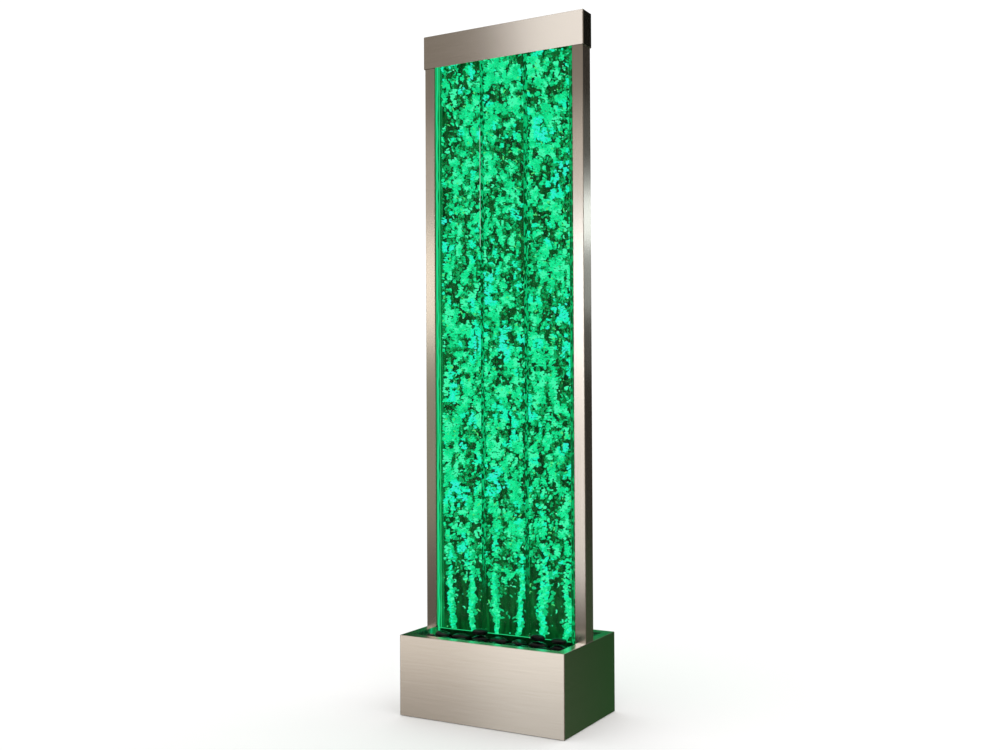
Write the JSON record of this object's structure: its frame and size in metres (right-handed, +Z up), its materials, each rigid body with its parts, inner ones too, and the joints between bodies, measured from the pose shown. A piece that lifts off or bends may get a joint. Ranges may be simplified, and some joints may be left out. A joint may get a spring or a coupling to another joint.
{
  "type": "bubble wall floor lamp",
  "caption": "Free-standing bubble wall floor lamp: a lit, water-filled acrylic panel between two steel posts on a stone-filled steel base, with a lift-off header",
  "frame": {"origin": "on the floor under the middle of the base, which is the bottom centre of the bounding box", "axes": "+X to the right seen from the front, +Y from the front to the back, +Z up; the front faces -Y"},
  "size_m": [0.4842, 0.3048, 1.829],
  "materials": {
    "brushed_stainless": "brushed, satin",
    "galvanised_steel": "matt, zinc plated",
    "plated_screws": "bright zinc plate",
    "clear_acrylic": "clear, polished",
    "river_stone": "dark, polished",
    "black_rubber": "matt",
    "clear_hose": "translucent silicone",
    "moulded_plastic": "black, moulded",
    "aluminium": "plain, extruded and die cast",
    "circuit_board": "white solder mask",
    "led_lens": "clear, lit green",
    "lead_sheath": "black PVC"
  },
  "bodies": {
    "lamp": {"air_hose_lower": "clear_hose", "air_hose_upper": "clear_hose", "air_manifold": "moulded_plastic", "air_nozzles": "clear_acrylic", "air_pump": "aluminium", "base_shell": "brushed_stainless", "bottom_plate": "galvanised_steel", "bottom_plate_screws": "plated_screws", "check_valve": "moulded_plastic", "controller_screws": "plated_screws", "drain_hose": "clear_hose", "drain_outlet": "clear_acrylic", "drain_spout": "moulded_plastic", "foot_pads": "black_rubber", "inlet_lead": "lead_sheath", "led_bar": "aluminium", "led_bar_brackets": "aluminium", "led_chips": "led_lens", "led_controller": "moulded_plastic", "led_lead": "lead_sheath", "led_strip": "circuit_board", "post_bolts": "plated_screws", "post_brackets": "galvanised_steel", "post_foot_plates": "galvanised_steel", "post_left": "brushed_stainless", "post_right": "brushed_stainless", "post_top_plates": "galvanised_steel", "power_inlet": "moulded_plastic", "power_inlet_nut": "plated_screws", "pump_lead": "lead_sheath", "pump_mounts": "black_rubber", "recess_panel": "brushed_stainless", "recess_panel_screws": "plated_screws", "river_stones_back": "river_stone", "river_stones_front": "river_stone", "side_cushions": "black_rubber", "stone_tray": "brushed_stainless", "switch_bezel": "moulded_plastic", "switch_lead": "lead_sheath", "tank_back_sheet": "clear_acrylic", "tank_bed_strips": "black_rubber", "tank_dividers": "clear_acrylic", "tank_floor": "clear_acrylic", "tank_front_sheet": "clear_acrylic", "tank_lid": "clear_acrylic", "tank_side_bars": "clear_acrylic", "tie_screws": "plated_screws", "top_cushions": "black_rubber", "top_tie_bar": "galvanised_steel"},
    "header": {"header_cap": "brushed_stainless"},
    "bung": {"filler_bung": "black_rubber"},
    "switch_rocker": {"rocker": "moulded_plastic"},
    "drain_cap": {"drain_cap": "black_rubber"}
  },
  "joints": [
    {"name": "header_lift", "type": "slide", "parent": "lamp", "child": "header", "axis": [0, 0, 1], "range_m": [0, 0.1]},
    {"name": "bung_lift", "type": "slide", "parent": "lamp", "child": "bung", "axis": [0, 0, 1], "range_m": [0, 0.018]},
    {"name": "rocker_tip", "type": "hinge", "parent": "lamp", "child": "switch_rocker", "pos_m": [0.0862, 0.1287, 0.062], "axis": [1, 0, 0], "range_deg": [-20, 0]},
    {"name": "drain_cap_pull", "type": "slide", "parent": "lamp", "child": "drain_cap", "axis": [0, 1, 0], "range_m": [0, 0.02]}
  ]
}
